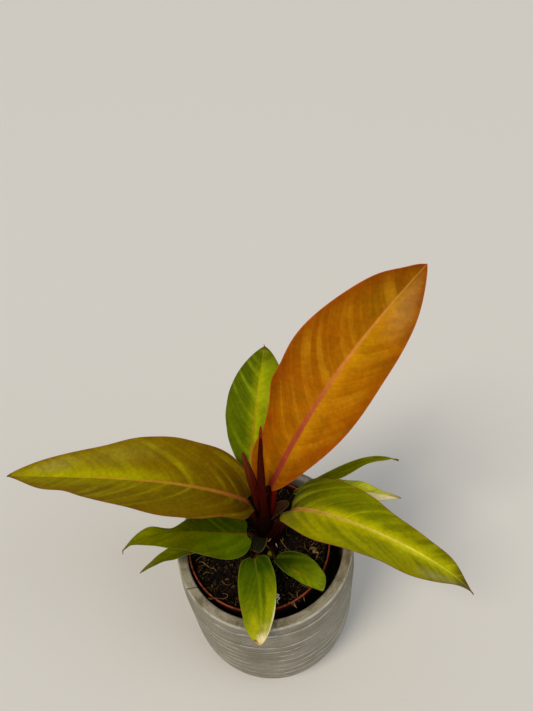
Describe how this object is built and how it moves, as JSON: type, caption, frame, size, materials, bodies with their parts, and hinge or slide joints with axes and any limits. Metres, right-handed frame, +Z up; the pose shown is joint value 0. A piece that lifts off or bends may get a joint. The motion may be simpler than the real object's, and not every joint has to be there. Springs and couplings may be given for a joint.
{
  "type": "potted prince of orange philodendron",
  "caption": "Young philodendron with an upright orange leaf, broad olive and lime leaves and small green ones, in a thin plastic pot inside a round grey concrete cover pot.",
  "frame": {"origin": "middle of the flat underside of the cover pot", "axes": "+Z up through the pot's axis, +X to the viewer's right, +Y away from the viewer"},
  "size_m": [0.3414, 0.1671, 0.3623],
  "materials": {
    "concrete": "dry matt with pale scored lines",
    "terracotta_plastic": "satin",
    "potting_soil": "rough, loose",
    "stalk": "waxy",
    "orange_leaf": "waxy satin",
    "olive_leaf": "waxy satin",
    "lime_leaf": "waxy satin",
    "green_leaf": "waxy satin",
    "spear": "waxy",
    "sheath": "dry satin",
    "olive_sheath": "satin"
  },
  "bodies": {
    "root": {"outer_pot": "concrete", "nursery_pot": "terracotta_plastic", "soil": "potting_soil", "stem": "stalk", "blade_orange": "orange_leaf", "blade_left": "olive_leaf", "blade_right": "lime_leaf", "blade_tall_green": "green_leaf", "blade_lower_left": "green_leaf", "blade_under_left": "green_leaf", "blade_front": "green_leaf", "blade_front_right": "green_leaf", "blade_back_high": "green_leaf", "blade_back_low": "green_leaf", "furled_leaf": "spear", "sheath_left": "sheath", "sheath_front": "olive_sheath", "sheath_right": "sheath", "bud": "olive_sheath"}
  },
  "joints": []
}
